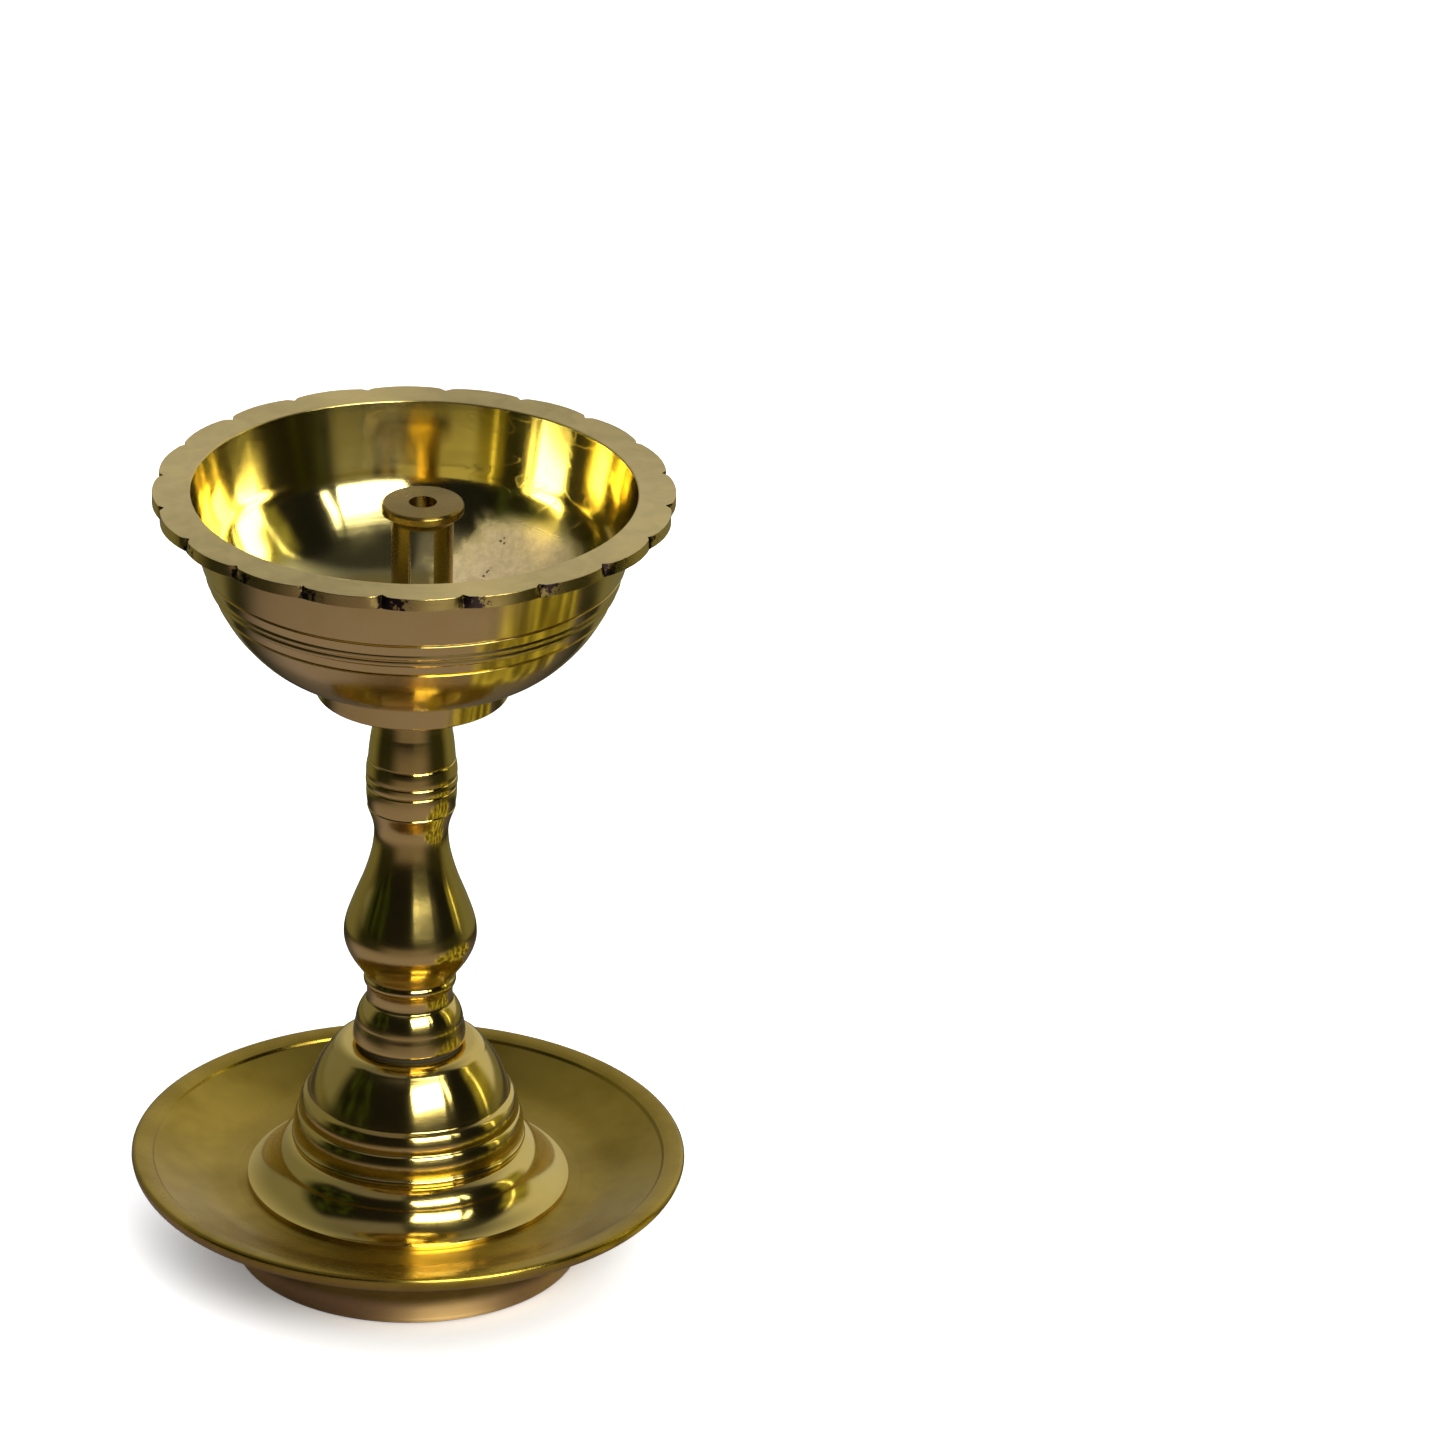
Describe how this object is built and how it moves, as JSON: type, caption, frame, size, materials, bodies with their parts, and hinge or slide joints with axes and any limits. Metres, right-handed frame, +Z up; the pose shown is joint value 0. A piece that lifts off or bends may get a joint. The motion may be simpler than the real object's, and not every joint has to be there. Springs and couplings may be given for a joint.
{
  "type": "diya oil lamp",
  "caption": "Pedestal oil lamp: a scalloped bowl with a lift-out wick holder, screwed on a turned stem over a bell dome and a drip tray.",
  "frame": {"origin": "centre of the plane that the tray's foot ring rests on, on the lamp's axis", "axes": "+Z up along the lamp's axis, -Y towards the viewer"},
  "size_m": [0.087, 0.087, 0.13],
  "materials": {
    "cast_brass": "turned satin brass, slightly tarnished in the corners",
    "polished_brass": "polished brass with fine turning lines",
    "plated_steel": "zinc plated",
    "black_rubber": "matt black"
  },
  "bodies": {
    "base": {"drip_tray": "cast_brass", "bell_dome": "polished_brass", "tie_rod": "plated_steel"},
    "nut_washer": {"steel_washer": "plated_steel"},
    "nut": {"hex_nut": "plated_steel"},
    "collar_ring": {"collar_washer": "black_rubber"},
    "stem": {"stem": "polished_brass"},
    "seat_ring": {"seat_washer": "black_rubber"},
    "bowl": {"bowl": "cast_brass", "bowl_stud": "plated_steel"},
    "wick_holder": {"wick_holder": "cast_brass"}
  },
  "joints": [
    {"name": "stem_rise", "type": "slide", "parent": "base", "child": "collar_ring", "axis": [0, 0, 1], "range_m": [0, 0.011]},
    {"name": "stem_turn", "type": "hinge", "parent": "collar_ring", "child": "stem", "pos_m": [0, 0, 0.05], "axis": [0, 0, 1], "range_deg": [0, 3965]},
    {"name": "bowl_rise", "type": "slide", "parent": "stem", "child": "seat_ring", "axis": [0, 0, 1], "range_m": [0, 0.0075]},
    {"name": "bowl_turn", "type": "hinge", "parent": "seat_ring", "child": "bowl", "pos_m": [0, 0, 0.1], "axis": [0, 0, 1], "range_deg": [0, 2705]},
    {"name": "holder_lift", "type": "slide", "parent": "bowl", "child": "wick_holder", "axis": [0, 0, 1], "range_m": [0, 0.04]},
    {"name": "nut_drop", "type": "slide", "parent": "base", "child": "nut_washer", "axis": [0, 0, -1], "range_m": [0, 0.006]},
    {"name": "nut_turn", "type": "hinge", "parent": "nut_washer", "child": "nut", "pos_m": [0, 0, 0.006], "axis": [0, 0, -1], "range_deg": [0, 2165]}
  ],
  "couplings": [
    {"joint": "stem_turn", "follows": "stem_rise", "rad_per_m": 6283.2},
    {"joint": "bowl_turn", "follows": "bowl_rise", "rad_per_m": 6283.2},
    {"joint": "nut_turn", "follows": "nut_drop", "rad_per_m": 6283.2}
  ]
}
